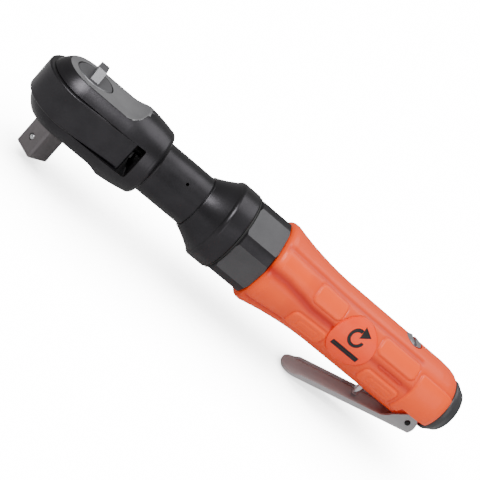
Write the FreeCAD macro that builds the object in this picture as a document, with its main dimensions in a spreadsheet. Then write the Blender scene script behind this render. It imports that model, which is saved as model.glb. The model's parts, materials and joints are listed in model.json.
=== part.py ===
"""Air ratchet: a pneumatic ratchet wrench with a 1/2 inch square drive.

Most pieces are drawn about the tool axis, which runs along X through the motor, and are then
raised by axis_height, because the part's origin is on the drive axis at the shoulder that a
socket seats against. +X points to the air inlet, and +Z to the reversing knob.
"""
import FreeCAD, Part
import math
import os
import re

import Sketcher
from FreeCAD import Placement, Rotation, Vector

SIZES = {
    "axis_height": 17,
    # ratchet head and neck
    "head_radius": 20.6,
    "head_top": 15,
    "head_bottom": 14.8,
    "flat_end": 20,
    "bulb_start": 25,
    "shoulder": 46.6,
    "shoulder_round": 3.6,
    "neck_round": 0.9,
    "neck_radius": 13.9,
    "bulb_curve": 90,
    "slot_top": 9.3,
    "slot_bottom": 7.3,
    "slot_end": 37.8,
    "neck_flange": 17.6,
    "neck_flange_start": 84.5,
    "neck_end": 87.5,
    "knob_recess": 10.2,
    "knob_recess_floor": 11.2,
    "grease_hole_place": 63,
    # yoke
    "yoke_radius": 20.9,
    "yoke_tail": 33.5,
    "yoke_half_width": 16.4,
    "yoke_teeth": 36,
    "yoke_tooth_tip": 13.1,
    "yoke_tooth_root": 14.3,
    "yoke_slot": 7,
    # square drive
    "drive_side": 12.7,
    "drive_corner": 8.35,
    "drive_length": 17,
    "drive_core": 12.6,
    "drive_journal": 8,
    "drive_collar": 9.4,
    "pawl_middle": 3.5,
    "pawl_height": 8,
    # crank and planets
    "crank_throw": 1.5,
    "crank_pin": 2.6,
    "crank_web": 8.6,
    "crank_journal": 7,
    "cage_radius": 12.7,
    "planet_start": 89.8,
    "planet_length": 10.4,
    "planet_circle": 9,
    "gear_module": 0.6,
    "sun_teeth": 15,
    "planet_teeth": 15,
    "ring_teeth": 45,
    # clamp nut and gear ring
    "nut_start": 74,
    "nut_shoulder": 87,
    "nut_end": 96.7,
    "nut_radius": 22,
    "ring_start": 97.7,
    "ring_end": 116.7,
    "ring_radius": 22.2,
    "ring_flat": 20.6,
    "ring_turn": 22,
    "nose_radius": 17.9,
    # motor
    "housing_start": 117.2,
    "housing_radius": 16.6,
    "housing_step": 220,
    "housing_end": 236.5,
    "motor_bore": 15.2,
    "cylinder_start": 125.7,
    "cylinder_end": 168.3,
    "rotor_radius": 10.6,
    "rotor_offset": 1.2,
    "shaft_radius": 3.8,
    # grip
    "flange_radius": 23.3,
    "waist": 145,
    "grip_radius": 18.9,
    "grip_round": 228,
    "grip_end": 238,
    "grip_end_radius": 15.4,
    "lug_half_width": 7.2,
    "badge_place": 175,
    "badge_radius": 12.4,
    "badge_rise": 2,
    # throttle
    "valve_place": 204.7,
    "valve_bore": 4.9,
    "valve_seat_height": 4.5,
    "stem_radius": 2,
    "stem_bottom": 25.75,
    "plug_radius": 5,
    "plug_bottom": 9.5,
    "plug_top": 18.5,
    # lever
    "pin_place": 233,
    "pin_drop": 15.3,
    "pin_radius": 1.5,
    "pin_half_length": 9.6,
    "lever_angle": 13.4,
    "lever_reach": 71.9,
    "lever_half_width": 8.9,
    "lever_sheet": 1.5,
    "lever_offset": 3.95,
    # rear end
    "deflector_start": 238.4,
    "deflector_end": 246.4,
    "inlet_radius": 8.5,
    "inlet_end": 247.5,
    "inlet_thread": 5.7,
    "inlet_thread_length": 12,
}

ALONG_X = Rotation(Vector(0, 1, 0), 90)
ALONG_Y = Rotation(Vector(1, 0, 0), -90)
ALONG_Z = Rotation()

doc = FreeCAD.newDocument("air_ratchet")
sheet = doc.addObject("Spreadsheet::Sheet", "sizes")
for row, (alias, size) in enumerate(SIZES.items(), start=1):
    sheet.set("A%d" % row, alias)
    sheet.set("B%d" % row, str(size))
    sheet.setAlias("B%d" % row, alias)
doc.recompute()
subparts = []


def value(expression):
    """The number that an expression of sheet names gives."""
    return float(sheet.evalExpression(str(expression)))


def linked(expression):
    """The expression, with each sheet name as another object writes it."""
    def full_name(word):
        return "sizes." + word.group() if word.group() in SIZES else word.group()
    return re.sub(r"[a-z_][a-z_0-9]*", full_name, str(expression))


def bind(thing, links):
    """Tie the thing's properties to the sheet."""
    for name, expression in links.items():
        thing.setExpression(name, linked(expression))


def place(thing, x="0", y="0", z="0", turn=ALONG_Z):
    """Place a feature or a piece by expressions."""
    thing.Placement = Placement(Vector(value(x), value(y), value(z)), turn)
    bind(thing, {"Placement.Base.x": x, "Placement.Base.y": y, "Placement.Base.z": z})


def keep(piece, name, x="0", y="0", z="axis_height", turn=ALONG_Z):
    """Name a finished piece, place it in the tool and list it as a sub-part."""
    piece.Label = name
    place(piece, x, y, z, turn)
    subparts.append(piece)
    return piece


# Sketches

def arc_between(start, end, bend):
    """Arc that turns left from start to end, or right if bend is negative."""
    chord = end - start
    left = Vector(-chord.y, chord.x, 0).normalize()
    height = math.sqrt(max(bend * bend - chord.Length ** 2 / 4, 0))
    centre = (start + end) * 0.5 + left * math.copysign(height, bend)
    first, last = (start, end) if bend > 0 else (end, start)
    angles = [math.atan2(point.y - centre.y, point.x - centre.x) for point in (first, last)]
    return Part.ArcOfCircle(Part.Circle(centre, Vector(0, 0, 1), abs(bend)), *angles)


def outline(sketch, steps):
    """Close a loop: (x, y) ends a straight edge, and (x, y, bend) an arc of that radius."""
    points = [Vector(value(step[0]), value(step[1]), 0) for step in steps]
    first_edge = sketch.GeometryCount
    joints = []
    for number, step in enumerate(steps):
        start, end = points[number - 1], points[number]
        bend = value(step[2]) if len(step) == 3 else 0
        edge = arc_between(start, end, bend) if bend else Part.LineSegment(start, end)
        sketch.addGeometry(edge)
        joints.append((2, 1) if bend < 0 else (1, 2))
    for number, step in enumerate(steps):
        edge = first_edge + number
        after = (number + 1) % len(steps)
        end = joints[number][1]
        sketch.addConstraint(Sketcher.Constraint("Coincident", edge, end, first_edge + after, joints[after][0]))
        for kind, expression in (("DistanceX", step[0]), ("DistanceY", step[1])):
            rule = sketch.addConstraint(Sketcher.Constraint(kind, edge, end, value(expression)))
            sketch.setExpression("Constraints[%d]" % rule, linked(expression))
        if len(step) == 3:
            rule = sketch.addConstraint(Sketcher.Constraint("Radius", edge, abs(value(step[2]))))
            sketch.setExpression("Constraints[%d]" % rule, linked("abs(%s)" % step[2]))


def ring_outline(sketch, radius, x="0", y="0"):
    """A circle."""
    centre = Vector(value(x), value(y), 0)
    edge = sketch.addGeometry(Part.Circle(centre, Vector(0, 0, 1), value(radius)))
    for kind, expression in (("DistanceX", x), ("DistanceY", y)):
        rule = sketch.addConstraint(Sketcher.Constraint(kind, edge, 3, value(expression)))
        sketch.setExpression("Constraints[%d]" % rule, linked(expression))
    rule = sketch.addConstraint(Sketcher.Constraint("Radius", edge, value(radius)))
    sketch.setExpression("Constraints[%d]" % rule, linked(radius))


def sketch_on(body, role, offset="0"):
    """An empty sketch on one of the body's own origin planes, moved along its normal."""
    sketch = body.newObject("Sketcher::SketchObject", body.Name + "_sketch")
    plane = next(item for item in body.Origin.OriginFeatures if item.Role == role)
    sketch.AttachmentSupport = [(plane, "")]
    sketch.MapMode = "FlatFace"
    sketch.AttachmentOffset = Placement(Vector(0, 0, value(offset)), Rotation())
    bind(sketch, {"AttachmentOffset.Base.z": offset})
    return sketch


# Features

def turned(name, steps, axis="H_Axis"):
    """A body turned from a section in the XZ plane, about X, or about Z with V_Axis."""
    body = doc.addObject("PartDesign::Body", name)
    sketch = sketch_on(body, "XZ_Plane")
    outline(sketch, steps)
    turn = body.newObject("PartDesign::Revolution", name + "_turned")
    turn.Profile = sketch
    turn.ReferenceAxis = (sketch, [axis])
    turn.Angle = 360
    return body


def padded(body, role, steps, length, offset="0", kind="Pad", middle=False, back=False):
    """Pad or pocket an outline; with middle it goes both ways, and with back the other way."""
    sketch = sketch_on(body, role, offset)
    outline(sketch, steps)
    return extruded(body, sketch, length, kind, middle, back)


def extruded(body, sketch, length, kind="Pad", middle=False, back=False):
    """Pad or pocket a finished sketch."""
    feature = body.newObject("PartDesign::" + kind, body.Name + "_" + kind.lower())
    feature.Profile = sketch
    feature.Midplane = middle
    feature.Reversed = back
    bind(feature, {"Length": length})
    return feature


def plate(name, role, steps, length, offset="0", middle=False):
    """A body padded from one outline."""
    body = doc.addObject("PartDesign::Body", name)
    padded(body, role, steps, length, offset, middle=middle)
    return body


def rod(body, radius, length, x="0", y="0", z="0", turn=ALONG_X, kind="Subtractive"):
    """Drill a round hole, or add a round boss, that starts at x, y, z."""
    feature = body.newObject("PartDesign::%sCylinder" % kind, body.Name + "_round")
    bind(feature, {"Radius": radius, "Height": length})
    place(feature, x, y, z, turn)
    return feature


def block(body, length, width, height, x, y, z, kind="Subtractive"):
    """Cut or add a box, centred on y, that starts at x and z."""
    feature = body.newObject("PartDesign::%sBox" % kind, body.Name + "_block")
    bind(feature, {"Length": length, "Width": width, "Height": height})
    place(feature, x, "(%s) - (%s) / 2" % (y, width), z)
    return feature


def edges_where(body, test):
    """Names of the edges of the body's last feature that pass the test."""
    doc.recompute()
    return ["Edge%d" % number for number, edge in enumerate(body.Tip.Shape.Edges, start=1) if test(edge)]


def edged(body, size, test, kind="Fillet"):
    """Round or chamfer the edges that pass the test."""
    names = edges_where(body, test)
    base = body.Tip
    feature = body.newObject("PartDesign::" + kind, body.Name + "_" + kind.lower())
    feature.Base = (base, names)
    bind(feature, {"Radius" if kind == "Fillet" else "Size": size})
    return feature


def repeated(body, feature, count):
    """Repeat a feature round its sketch's normal."""
    pattern = body.newObject("PartDesign::PolarPattern", body.Name + "_pattern")
    pattern.Originals = [feature]
    pattern.Axis = (feature.Profile[0], ["N_Axis"])
    pattern.Angle = 360
    bind(pattern, {"Occurrences": count})
    body.Tip = pattern
    return pattern


def solid_piece(name, shape, **where):
    """A piece whose shape no feature makes well: gear teeth, coils and sets of rollers."""
    piece = doc.addObject("Part::Feature", name)
    piece.Shape = Part.makeCompound([shape])
    return keep(piece, name, **where)


def tube(name, radius, bore, start, length, turn=ALONG_X, **where):
    """A plain ring or bush about X, or about Z with turn=ALONG_Z."""
    body = doc.addObject("PartDesign::Body", name)
    spot = {"x": start} if turn == ALONG_X else {"z": start}
    rod(body, radius, length, kind="Additive", turn=turn, **spot)
    rod(body, bore, length, turn=turn, **spot)
    return keep(body, name, **where)


def rounded(edge):
    """True for an edge that is part of a circle."""
    return isinstance(edge.Curve, Part.Circle)


def coil(radius, wire, turns, length):
    """A coil spring that stands on the XY plane; its wire's middle runs from end to end."""
    path = Part.Wire(Part.makeHelix((length - 2 * wire) / turns, length - 2 * wire, radius).Edges)
    path.translate(Vector(0, 0, wire))
    section = Part.Wire(Part.makeCircle(wire, Vector(radius, 0, wire), Vector(0, 1, 0)))
    return path.makePipeShell([section], True, True)


# Ratchet head

def make_ratchet_housing():
    """Forged in one piece: turned bulb and neck, two milled flats and a slot for the yoke."""
    body = turned("ratchet_housing", [
        ("neck_end", "0"),
        ("neck_end", "neck_flange"),
        ("neck_flange_start", "neck_flange"),
        ("neck_flange_start", "neck_radius"),
        ("shoulder + neck_round", "neck_radius"),
        ("shoulder", "neck_radius + neck_round", "-neck_round"),
        ("shoulder - shoulder_round", "neck_radius + neck_round + shoulder_round", "shoulder_round"),
        ("bulb_start", "head_radius", "bulb_curve"),
        ("0", "head_radius"),
        ("-head_radius * sqrt(0.5)", "head_radius * sqrt(0.5)", "head_radius"),
        ("-head_radius", "0", "head_radius"),
    ])
    for height, way in (("head_top", ""), ("head_bottom", "-")):
        rise = "(head_radius + 4 - %s)" % height
        steps = [
            ("-head_radius - 5", way + height),
            ("flat_end", way + height),
            ("flat_end + " + rise, "%s(head_radius + 4)" % way, ("" if way == "" else "-") + rise),
            ("-head_radius - 5", "%s(head_radius + 4)" % way),
        ]
        padded(body, "XZ_Plane", steps, "60", kind="Pocket", middle=True)
    edged(body, "1.2", lambda edge: edge.BoundBox.ZLength < 0.1 and abs(edge.BoundBox.ZMin) > 14
          and edge.BoundBox.XMin < 19)
    padded(body, "XZ_Plane", [
        ("-head_radius - 5", "-slot_bottom"),
        ("slot_end - 1", "-slot_bottom"),
        ("slot_end", "1 - slot_bottom", "1"),
        ("slot_end", "slot_top - 1"),
        ("slot_end - 1", "slot_top", "1"),
        ("-head_radius - 5", "slot_top"),
    ], "60", kind="Pocket", middle=True)
    rod(body, "knob_recess", "10", z="knob_recess_floor", turn=ALONG_Z)
    rod(body, "drive_journal + 0.05", "30", turn=ALONG_Z)
    rod(body, "drive_core + 0.05", "20", z="-20", turn=ALONG_Z)
    rod(body, "9.65", "30", x="slot_end - 1")
    rod(body, "11.5", "neck_end - 58", x="59")
    rod(body, "cage_radius + 0.8", "6", x="neck_end - 3")
    sideways = Rotation(Vector(1, 0, 0), 55)
    rod(body, "0.8", "12", x="grease_hole_place", y="-8 * cos(35)", z="8 * sin(35)", turn=sideways)
    keep(body, "ratchet_housing")


def make_ratchet_yoke():
    """Swinging yoke: a toothed eye, and a tail with an open slot for the drive bushing."""
    half, corner = "yoke_half_width", "1.5"
    reach = "sqrt(yoke_tail ^ 2 + yoke_half_width ^ 2)"
    lean = "(atan(yoke_half_width / yoke_tail) + acos(yoke_radius / %s))" % reach
    touch_x, touch_y = "yoke_radius * cos(%s)" % lean, "yoke_radius * sin(%s)" % lean
    body = plate("ratchet_yoke", "XY_Plane", [
        (touch_x, touch_y),
        ("0", "yoke_radius", "yoke_radius"),
        ("-yoke_radius", "0", "yoke_radius"),
        ("0", "-yoke_radius", "yoke_radius"),
        (touch_x, "-" + touch_y, "yoke_radius"),
        ("yoke_tail - " + corner, "-" + half),
        ("yoke_tail", corner + " - " + half, corner),
        ("yoke_tail", "-yoke_slot"),
        ("22 + yoke_slot", "-yoke_slot"),
        ("22", "0", "-yoke_slot"),
        ("22 + yoke_slot", "yoke_slot", "-yoke_slot"),
        ("yoke_tail", "yoke_slot"),
        ("yoke_tail", half + " - " + corner),
        ("yoke_tail - " + corner, half, corner),
    ], "slot_top + slot_bottom - 0.6", offset="0.3 - slot_bottom")
    edged(body, "0.8", lambda edge: edge.BoundBox.ZLength < 0.01 and edge.BoundBox.XMin < 33
          and edge.BoundBox.YLength > 3)
    rod(body, "yoke_tooth_tip", "30", z="-15", turn=ALONG_Z)
    gap = padded(body, "XY_Plane", [
        ("yoke_tooth_tip - 1", "-1.1"),
        ("yoke_tooth_root", "0"),
        ("yoke_tooth_tip - 1", "1.1"),
    ], "40", kind="Pocket", middle=True)
    repeated(body, gap, "yoke_teeth")
    keep(body, "ratchet_yoke")


def make_square_drive():
    """Output shaft: flange and core in the yoke's eye, a collar, and the 1/2 inch square."""
    body = turned("square_drive", [
        ("0", "-axis_height"),
        ("drive_collar - 0.6", "-axis_height"),
        ("drive_collar", "0.6 - axis_height"),
        ("drive_collar", "-head_bottom - 0.3"),
        ("drive_core", "-head_bottom - 0.3"),
        ("drive_core", "slot_top - 0.4"),
        ("drive_journal", "slot_top - 0.4"),
        ("drive_journal", "knob_recess_floor + 1.3"),
        ("0", "knob_recess_floor + 1.3"),
    ], axis="V_Axis")
    far, near = "drive_corner", "(drive_side * sqrt(2) / 2 - drive_corner)"
    steps = []
    for x, y in ((far, near), (near, far), ("-" + near, far), ("-" + far, near)):
        steps.append((x, y))
    for x, y in (("-" + far, "-" + near), ("-" + near, "-" + far), (near, "-" + far), (far, "-" + near)):
        steps.append((x, y))
    padded(body, "XY_Plane", steps, "drive_length + 1", offset="1 - axis_height", back=True)
    edged(body, "0.7", lambda edge: edge.BoundBox.ZMax < -33.9, kind="Chamfer")
    for ends in (("6.4", "drive_core + 2", "52"), ("0", "11.4", "54")):
        sector(body, *ends)
    rod(body, "4.6", "12", z="1.2", turn=ALONG_Z)
    toward_ball = Rotation(Vector(0, 0, 1), Vector(-1, -1, 0))
    rod(body, "1.75", "8", x="-0.3", y="-0.3", z="-26", turn=toward_ball)
    keep(body, "square_drive")


def sector(body, inner, outer, angle):
    """Cut the room that the pawl, or its plunger, needs on the square drive's front side."""
    height = "pawl_height + 0.8" if angle == "52" else "3.4"
    corner = ["(%s) * cos(%s)" % (radius, angle) for radius in (inner, outer)]
    side = ["(%s) * sin(%s)" % (radius, angle) for radius in (inner, outer)]
    steps = [("-" + corner[1], side[1])]
    if angle == "52":
        steps.append(("-20", side[1]))
        steps.append(("-20", "-" + side[1]))
        steps.append(("-" + corner[1], "-" + side[1]))
        steps.append(("-" + corner[0], "-" + side[0]))
        steps.append(("-(%s)" % inner, "0", "-(%s)" % inner))
        steps.append(("-" + corner[0], side[0], "-(%s)" % inner))
    else:
        steps.append(("-" + corner[1], "-" + side[1]))
        steps.append(("0", "0"))
    sketch = sketch_on(body, "XY_Plane", "pawl_middle")
    outline(sketch, steps)
    extruded(body, sketch, height, kind="Pocket", middle=True)


def make_pawl():
    """Rocker pawl: a curved bar on a pin, drawn midway between its two driving positions."""
    steps = []
    for radius, turn in (("12.3", 1), ("6.9", -1)):
        for share in (1, 0, -1):
            angle = "%d" % (46 * share * turn)
            bend = () if share == 1 else (("" if turn > 0 else "-") + radius,)
            steps.append(("-%s * cos(%s)" % (radius, angle), "%s * sin(%s)" % (radius, angle)) + bend)
    body = plate("pawl", "XY_Plane", steps, "pawl_height", offset="pawl_middle", middle=True)
    rod(body, "1.55", "20", x="-9.6", z="-5", turn=ALONG_Z)
    keep(body, "pawl")
    pin = doc.addObject("PartDesign::Body", "pawl_pin")
    rod(pin, "1.5", "pawl_height + 0.7", x="-9.6", z="pawl_middle - pawl_height / 2 - 0.35", turn=ALONG_Z,
        kind="Additive")
    keep(pin, "pawl_pin")


def make_knob():
    """Reversing knob: a disc with a thumb bar, and a stem that holds the pawl's plunger."""
    knob = turned("reversing_knob", [
        ("0", "1.4"),
        ("4.5", "1.4"),
        ("4.5", "13.3"),
        ("9.9", "13.3"),
        ("9.9", "14.6"),
        ("9.3", "15.2"),
        ("0", "15.2"),
    ], axis="V_Axis")
    padded(knob, "YZ_Plane", [
        ("-9", "15"),
        ("9", "15"),
        ("9", "16.2"),
        ("4.6", "21.4"),
        ("-4.6", "21.4"),
        ("-9", "16.2"),
    ], "4.4", middle=True)
    rod(knob, "1.3", "4", x="-4.6", z="pawl_middle")
    keep(knob, "reversing_knob")
    plunger = doc.addObject("PartDesign::Body", "pawl_plunger")
    rod(plunger, "1.25", "3.6", x="-6.3", z="pawl_middle", kind="Additive")
    keep(plunger, "pawl_plunger")
    solid_piece("pawl_spring", coil(0.85, 0.2, 4, 2), x="-2.65", z="axis_height + pawl_middle", turn=ALONG_X)


def make_head_trim():
    """Washer and ring that hold the square drive in the head, and the socket's ball and spring."""
    tube("thrust_washer", "10", "drive_journal + 0.15", "knob_recess_floor + 0.02", "0.6", turn=ALONG_Z)
    tube("drive_retaining_ring", "9.2", "drive_journal", "knob_recess_floor + 0.65", "0.6", turn=ALONG_Z)
    ball = doc.addObject("Part::Sphere", "detent_ball")
    ball.Radius = 1.7
    ball_way = "-(drive_side / 2 - 1.15) * sqrt(2) / 2"
    keep(ball, "detent_ball", x=ball_way, y=ball_way, z="axis_height - 26")
    inward = Rotation(Vector(0, 0, 1), Vector(1, 1, 0))
    spring_way = "-(drive_side / 2 - 3.05) * sqrt(2) / 2"
    solid_piece("detent_spring", coil(1.2, 0.22, 3, 2.75), x=spring_way, y=spring_way,
                z="axis_height - 26", turn=inward)


# Crank and planet gears

def make_crankshaft():
    """Planet cage, journal, web and eccentric pin, all one forging."""
    body = turned("crankshaft", [
        ("slot_end + 0.8", "0"),
        ("planet_start + planet_length + 3.4", "0"),
        ("planet_start + planet_length + 3.4", "cage_radius"),
        ("planet_start - 3.2", "cage_radius"),
        ("planet_start - 3.2", "crank_journal"),
        ("44", "crank_journal"),
        ("44", "crank_web"),
        ("slot_end + 0.8", "crank_web"),
    ])
    rod(body, "crank_pin", "slot_end + 1 - 25.5", x="25.5", z="crank_throw", kind="Additive")
    rod(body, "6", "20", x="planet_start - 0.4")
    room = sketch_on(body, "YZ_Plane", "planet_start - 0.3")
    ring_outline(room, "planet_teeth * gear_module / 2 + 1", x="0", y="planet_circle")
    pocket = extruded(body, room, "planet_length + 0.6", kind="Pocket", back=True)
    repeated(body, pocket, "3")
    hole = sketch_on(body, "YZ_Plane", "planet_start - 2.6")
    ring_outline(hole, "1.5", x="0", y="planet_circle")
    pin_holes = extruded(body, hole, "20", kind="Pocket", back=True)
    repeated(body, pin_holes, "3")
    keep(body, "crankshaft")


def make_crank_bearings():
    """Bushing on the crank's pin, bush round its web, and the needle bearing on its journal."""
    bushing = doc.addObject("PartDesign::Body", "drive_bushing")
    rod(bushing, "3.9", "7", x="26", z="crank_throw", kind="Additive")
    rod(bushing, "crank_pin", "7", x="26", z="crank_throw")
    keep(bushing, "drive_bushing")
    tube("crank_bushing", "9.65", "crank_web + 0.05", "slot_end + 1", "5")
    tube("crank_bearing_shell", "11.5", "9.75", "66", "13")
    needle = Part.makeCylinder(1.2, 12, Vector(0, 0, 0), Vector(1, 0, 0))
    needles = []
    for number in range(12):
        copy = needle.copy()
        copy.translate(Vector(0, 0, value("crank_journal") + 1.3))
        copy.rotate(Vector(0, 0, 0), Vector(1, 0, 0), 30 * number)
        needles.append(copy)
    solid_piece("crank_bearing_needles", Part.makeCompound(needles), x="66.5")


def toothed(teeth, length, slack, inner=False):
    """A spur gear about X that starts at x = 0, or the space that an inner gear leaves."""
    module = value("gear_module")
    pitch = module * teeth / 2
    reach = (0.75 * module, -1.05 * module)
    if inner:
        reach = (1.05 * module, -0.75 * module)
    points = []
    half_tooth = math.pi / 2 / teeth + (slack if inner else -slack) / pitch
    lean = math.tan(math.radians(20))
    for number in range(teeth):
        middle = 2 * math.pi * number / teeth
        corners = [(reach[1], -1), (reach[0], -1), (reach[0], 1), (reach[1], 1)]
        for rise, side in corners:
            angle = middle + side * (half_tooth - rise * lean / pitch)
            radius = pitch + rise
            points.append(Vector(0, radius * math.cos(angle), radius * math.sin(angle)))
    points.append(points[0])
    return Part.Face(Part.makePolygon(points)).extrude(Vector(length, 0, 0))


def make_planets():
    """Three planet gears, each on a pin in the crankshaft's cage."""
    start, length = value("planet_start"), value("planet_length")
    circle, teeth = value("planet_circle"), int(value("planet_teeth"))
    pins = []
    for number in range(3):
        angle = math.radians(90 + 120 * number)
        centre = Vector(0, circle * math.cos(angle), circle * math.sin(angle))
        gear = toothed(teeth, length, 0.06)
        gear.rotate(Vector(0, 0, 0), Vector(1, 0, 0), 2 * math.degrees(angle))
        gear = gear.cut(Part.makeCylinder(1.55, length, Vector(0, 0, 0), Vector(1, 0, 0)))
        gear.translate(centre)
        solid_piece("planet_gear_%d" % (number + 1), gear, x="planet_start")
        pins.append(Part.makeCylinder(1.5, length + 5.4, centre + Vector(start - 2.5, 0, 0), Vector(1, 0, 0)))
    solid_piece("planet_pins", Part.makeCompound(pins))


def make_gear_ring():
    """Steel ring: threaded nose, six wrench flats outside and the internal gear inside."""
    blank = turned("gear_ring_blank", [
        ("neck_end + 0.1", "11"),
        ("ring_end + 1.6", "11"),
        ("ring_end + 1.6", "motor_bore - 0.02"),
        ("ring_end", "motor_bore - 0.02"),
        ("ring_end", "ring_radius - 0.8"),
        ("ring_end - 0.8", "ring_radius"),
        ("ring_start + 0.8", "ring_radius"),
        ("ring_start", "ring_radius - 0.8"),
        ("ring_start", "nose_radius"),
        ("neck_end + 0.1", "nose_radius"),
    ])
    flat = padded(blank, "YZ_Plane", [
        ("-15", "ring_flat"),
        ("15", "ring_flat"),
        ("15", "ring_flat + 5"),
        ("-15", "ring_flat + 5"),
    ], "ring_end - ring_start - 0.1", offset="ring_start + 0.1", kind="Pocket", back=True)
    repeated(blank, flat, "6")
    rod(blank, "14.9", "planet_start - neck_end", x="neck_end")
    rod(blank, "14.9", "20", x="planet_start + planet_length + 0.2")
    space = doc.addObject("Part::Feature", "gear_ring_teeth")
    space.Shape = toothed(int(value("ring_teeth")), value("planet_length") + 1, 0.06, inner=True)
    place(space, x="planet_start - 0.5")
    blank.Placement = Placement(Vector(), Rotation(Vector(1, 0, 0), -value("ring_turn")))
    ring = doc.addObject("Part::Cut", "gear_ring")
    ring.Base = blank
    ring.Tool = space
    keep(ring, "gear_ring")


def make_clamp_nut():
    """Flared nut that pulls the neck's flange onto the gear ring, and the thin ring behind it."""
    body = turned("clamp_nut", [
        ("nut_start", "neck_radius + 0.1"),
        ("neck_flange_start - 0.1", "neck_radius + 0.1"),
        ("neck_flange_start - 0.1", "nose_radius + 0.1"),
        ("nut_end", "nose_radius + 0.1"),
        ("nut_end", "nut_radius - 0.6"),
        ("nut_end - 0.6", "nut_radius"),
        ("nut_shoulder + 1", "nut_radius"),
        ("nut_shoulder - 1.6", "nut_radius - 1.2", "2.4"),
        ("nut_start + 0.8", "neck_radius + 1.1", "-60"),
        ("nut_start", "neck_radius + 0.7", "1"),
    ])
    keep(body, "clamp_nut")
    tube("joint_ring", "nut_radius - 0.9", "nose_radius + 0.1", "nut_end + 0.05", "ring_start - nut_end - 0.1")


# Motor

def make_motor_housing():
    """Metal core: motor bore in front, then the throttle's cross bore and the air passages."""
    body = turned("motor_housing", [
        ("housing_start + 1.2", "0"),
        ("housing_end", "0"),
        ("housing_end", "10.5"),
        ("housing_step", "10.5"),
        ("housing_step", "housing_radius"),
        ("housing_start + 1.2", "housing_radius"),
    ])
    rod(body, "motor_bore", "177 - housing_start", x="housing_start")
    rod(body, "7.05", "25", x="214")
    rod(body, "3.4", "16", x="valve_place", z="3")
    rod(body, "2.8", "valve_place - 174", x="175", z="-8.5")
    rod(body, "valve_bore", "40", x="valve_place", z="-valve_seat_height - 1.5", turn=ALONG_Z)
    rod(body, "3", "30", x="valve_place", z="-13", turn=ALONG_Z)
    rod(body, "4", "10", x="valve_place", z="-22", turn=ALONG_Z)
    keep(body, "motor_housing")


def make_motor():
    """Vane motor: cylinder with an off-centre bore, rotor with its pinion, vanes, plates, bearings."""
    cylinder = turned("motor_cylinder", [
        ("cylinder_start", "0"),
        ("cylinder_end", "0"),
        ("cylinder_end", "motor_bore - 0.05"),
        ("cylinder_start", "motor_bore - 0.05"),
    ])
    rod(cylinder, "rotor_radius + rotor_offset + 0.15", "60", x="cylinder_start - 5", z="rotor_offset")
    keep(cylinder, "motor_cylinder")
    plates = (("front_end_plate", "cylinder_start - 7", "cylinder_start - 4.5"),
              ("rear_end_plate", "cylinder_end + 0.1", "cylinder_end + 2.5"))
    for name, start, bearing in plates:
        body = doc.addObject("PartDesign::Body", name)
        rod(body, "motor_bore - 0.05", "6.9", x=start, kind="Additive")
        rod(body, "shaft_radius + 0.4", "20", x=start + " - 5")
        rod(body, "8", "4.4", x=bearing)
        keep(body, name)
        tube(name.replace("end_plate", "bearing"), "8", "shaft_radius + 0.05", bearing + " + 0.1", "4.2")
    tube("cylinder_dowel", "1", "0.3", "cylinder_start - 2.5", "5", z="axis_height + motor_bore - 2")
    make_rotor()


def make_rotor():
    """Slotted rotor, whose front shaft is cut as the sun pinion."""
    core = turned("rotor_core", [
        ("planet_start + planet_length + 0.3", "0"),
        ("cylinder_end + 7", "0"),
        ("cylinder_end + 7", "shaft_radius"),
        ("cylinder_end - 0.3", "shaft_radius"),
        ("cylinder_end - 0.3", "rotor_radius"),
        ("cylinder_start + 0.3", "rotor_radius"),
        ("cylinder_start + 0.3", "shaft_radius"),
        ("planet_start + planet_length + 0.3", "shaft_radius"),
    ])
    slot = padded(core, "YZ_Plane", [
        ("-0.8", "5"),
        ("0.8", "5"),
        ("0.8", "20"),
        ("-0.8", "20"),
    ], "cylinder_end - cylinder_start", offset="cylinder_start", kind="Pocket", back=True)
    repeated(core, slot, "5")
    pinion = doc.addObject("Part::Feature", "sun_pinion")
    pinion.Shape = toothed(int(value("sun_teeth")), value("planet_length") + 0.4, 0.06)
    place(pinion, x="planet_start")
    rotor = doc.addObject("Part::Fuse", "rotor")
    rotor.Base = core
    rotor.Tool = pinion
    keep(rotor, "rotor")
    length = value("cylinder_end") - value("cylinder_start") - 0.8
    vanes = []
    for number in range(5):
        vane = Part.makeBox(length, 1.5, 5.2, Vector(0, -0.75, 5.2))
        vane.rotate(Vector(0, 0, 0), Vector(1, 0, 0), 72 * number)
        vanes.append(vane)
    solid_piece("rotor_vanes", Part.makeCompound(vanes), x="cylinder_start + 0.4")


# Grip

def make_grip_sleeve():
    """Moulded grip: a bell-shaped front flange, a waist, a round rear end and the lever's lug."""
    body = turned("grip_blank", [
        ("housing_start", "housing_radius + 0.05"),
        ("housing_step + 0.1", "housing_radius + 0.05"),
        ("housing_step + 0.1", "10.55"),
        ("grip_end", "10.55"),
        ("grip_end", "grip_end_radius"),
        ("grip_round", "grip_radius", "12"),
        ("waist + 8", "grip_radius"),
        ("waist - 3", "grip_radius + 1", "-60"),
        ("housing_start + 5", "flange_radius - 0.3", "-60"),
        ("housing_start + 3.5", "flange_radius", "2"),
        ("housing_start + 2", "flange_radius"),
        ("housing_start", "flange_radius - 1.8", "2"),
    ])
    for side in ("1", "-1"):
        block(body, "21.9", "12", "22", "220.4", side + " * (lug_half_width + 6)", "-30")
    rod(body, "plug_radius + 0.4", "30", x="valve_place", turn=ALONG_Z)
    rod(body, "4.6", "30", x="valve_place", z="-30", turn=ALONG_Z)
    rod(body, "pin_radius", "40", x="pin_place", y="-20", z="-pin_drop", turn=ALONG_Y)
    grip = doc.addObject("Part::Cut", "grip_sleeve")
    grip.Base = body
    grip.Tool = curved_disc("badge_seat", "badge_radius + 0.1", "grip_radius - 0.75", "grip_radius + 2")
    keep(grip, "grip_sleeve")
    keep(curved_disc("badge", "badge_radius", "grip_radius - 0.7", "grip_radius"), "badge")


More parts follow.
